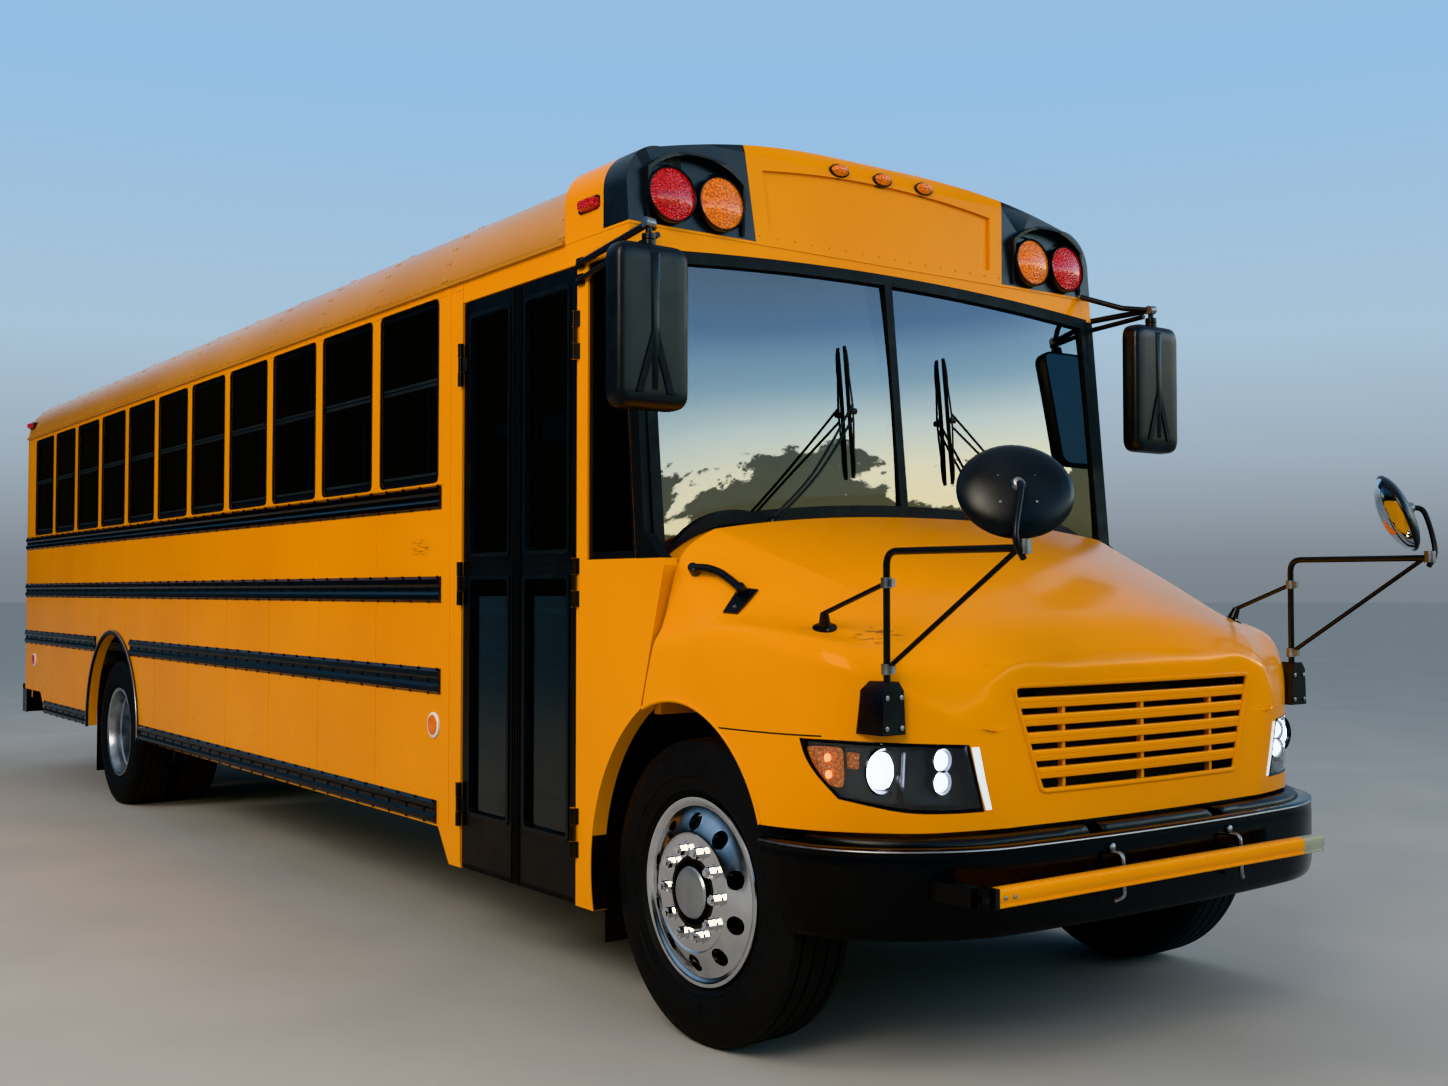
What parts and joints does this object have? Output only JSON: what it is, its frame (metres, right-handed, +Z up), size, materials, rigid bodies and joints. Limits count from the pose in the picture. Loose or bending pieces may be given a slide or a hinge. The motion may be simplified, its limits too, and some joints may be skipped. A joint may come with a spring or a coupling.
{
  "type": "conventional school bus",
  "caption": "Full-size hood-in-front school bus with tilting hood, folding entrance and exit doors, steering front wheels, twin rear wheels, a stop arm and a crossing arm.",
  "frame": {"origin": "on the ground, below the middle of the overall length and width", "axes": "+Z up, -Y towards the nose, +X the driver's side (left)"},
  "size_m": [2.91, 11.3009, 3.257],
  "materials": {
    "yellow_paint": "gloss enamel",
    "black_paint": "gloss black enamel",
    "chassis_black": "satin black chassis paint",
    "black_plastic": "moulded, fine grain",
    "trim_rubber": "extruded",
    "tyre_rubber": "moulded",
    "wheel_aluminium": "polished",
    "tinted_glass": "tinted",
    "clear_glass": "clear",
    "red_lens": "ribbed lens",
    "amber_lens": "ribbed lens",
    "lamp_unit": "clear lens over bright reflectors",
    "sign_red": "reflective sheet",
    "seat_vinyl": "coated fabric",
    "seat_steel": "powder coat",
    "floor_rubber": "ribbed",
    "cast_metal": "as cast",
    "steel_pipe": "dull"
  },
  "bodies": {
    "bus": {"amber_lamps": "amber_lens", "arch_flares": "trim_rubber", "arm_housings": "black_plastic", "chassis_frame": "chassis_black", "cowl": "yellow_paint", "dashboard": "black_plastic", "drive_shaft": "chassis_black", "driver_seat": "seat_vinyl", "engine_block": "cast_metal", "entrance_surround": "yellow_paint", "exhaust": "steel_pipe", "floor_panel": "floor_rubber", "front_axle": "chassis_black", "front_bumper": "black_paint", "front_cap": "yellow_paint", "fuel_tank": "chassis_black", "lamp_pods": "black_paint", "leaf_springs": "chassis_black", "mud_flaps": "trim_rubber", "radiator": "cast_metal", "rear_axle": "chassis_black", "rear_bumper": "black_paint", "rear_wall": "yellow_paint", "red_lamps": "red_lens", "roof_panel": "yellow_paint", "rub_rails": "black_paint", "seat_cushions": "seat_vinyl", "seat_frames": "seat_steel", "side_mirrors": "black_paint", "side_wall_left": "yellow_paint", "side_wall_right": "yellow_paint", "steering_wheel": "black_plastic", "step_well": "black_paint", "window_panes": "tinted_glass", "window_sashes": "black_paint", "windshield_frame": "trim_rubber", "windshield_glass": "clear_glass", "wipers": "black_paint"},
    "hood": {"hood": "yellow_paint", "grille": "yellow_paint", "headlamps": "lamp_unit", "crossing_mirrors": "black_paint"},
    "entrance_leaf_front": {"door_leaf_front": "black_paint", "door_glass_front": "tinted_glass"},
    "entrance_leaf_rear": {"door_leaf_rear": "black_paint", "door_glass_rear": "tinted_glass"},
    "exit_door": {"emergency_door": "yellow_paint", "emergency_door_glass": "tinted_glass"},
    "stop_sign": {"stop_arm": "sign_red"},
    "crossing_gate": {"crossing_arm": "yellow_paint"},
    "knuckle_left": {"steering_knuckle_left": "chassis_black"},
    "knuckle_right": {"steering_knuckle_right": "chassis_black"},
    "wheel_front_left": {"front_wheel_left": "wheel_aluminium", "front_tyre_left": "tyre_rubber"},
    "wheel_front_right": {"front_wheel_right": "wheel_aluminium", "front_tyre_right": "tyre_rubber"},
    "wheels_rear_left": {"rear_wheels_left": "wheel_aluminium", "rear_tyres_left": "tyre_rubber"},
    "wheels_rear_right": {"rear_wheels_right": "wheel_aluminium", "rear_tyres_right": "tyre_rubber"}
  },
  "joints": [
    {"name": "hood_tilt", "type": "hinge", "parent": "bus", "child": "hood", "pos_m": [0, -5.2515, 0.69], "axis": [1, 0, 0], "range_deg": [0, 60]},
    {"name": "entrance_front_swing", "type": "hinge", "parent": "bus", "child": "entrance_leaf_front", "pos_m": [-1.231, -3.6255, 1.53], "axis": [0, 0, 1], "range_deg": [0, 88]},
    {"name": "entrance_rear_swing", "type": "hinge", "parent": "bus", "child": "entrance_leaf_rear", "pos_m": [-1.231, -2.7045, 1.53], "axis": [0, 0, 1], "range_deg": [-88, 0]},
    {"name": "exit_door_swing", "type": "hinge", "parent": "bus", "child": "exit_door", "pos_m": [-0.342, 5.5665, 1.9], "axis": [0, 0, 1], "range_deg": [0, 100]},
    {"name": "stop_sign_swing", "type": "hinge", "parent": "bus", "child": "stop_sign", "pos_m": [1.265, -3.1115, 1.29], "axis": [0, 0, -1], "range_deg": [0, 90]},
    {"name": "crossing_gate_swing", "type": "hinge", "parent": "bus", "child": "crossing_gate", "pos_m": [-0.95, -5.4075, 0.634], "axis": [0, 0, -1], "range_deg": [0, 90]},
    {"name": "steer_left", "type": "hinge", "parent": "bus", "child": "knuckle_left", "pos_m": [0.9, -4.3015, 0.505], "axis": [0, 0, 1], "range_deg": [-38, 38]},
    {"name": "steer_right", "type": "hinge", "parent": "bus", "child": "knuckle_right", "pos_m": [-0.9, -4.3015, 0.505], "axis": [0, 0, 1], "range_deg": [-38, 38]},
    {"name": "front_left_spin", "type": "hinge", "parent": "knuckle_left", "child": "wheel_front_left", "pos_m": [1.03, -4.3015, 0.505], "axis": [1, 0, 0], "continuous": true},
    {"name": "front_right_spin", "type": "hinge", "parent": "knuckle_right", "child": "wheel_front_right", "pos_m": [-1.03, -4.3015, 0.505], "axis": [1, 0, 0], "continuous": true},
    {"name": "rear_left_spin", "type": "hinge", "parent": "bus", "child": "wheels_rear_left", "pos_m": [1.043, 2.7605, 0.505], "axis": [1, 0, 0], "continuous": true},
    {"name": "rear_right_spin", "type": "hinge", "parent": "bus", "child": "wheels_rear_right", "pos_m": [-1.043, 2.7605, 0.505], "axis": [1, 0, 0], "continuous": true}
  ],
  "couplings": [
    {"joint": "entrance_rear_swing", "follows": "entrance_front_swing", "ratio": -1},
    {"joint": "steer_right", "follows": "steer_left", "ratio": 1}
  ]
}
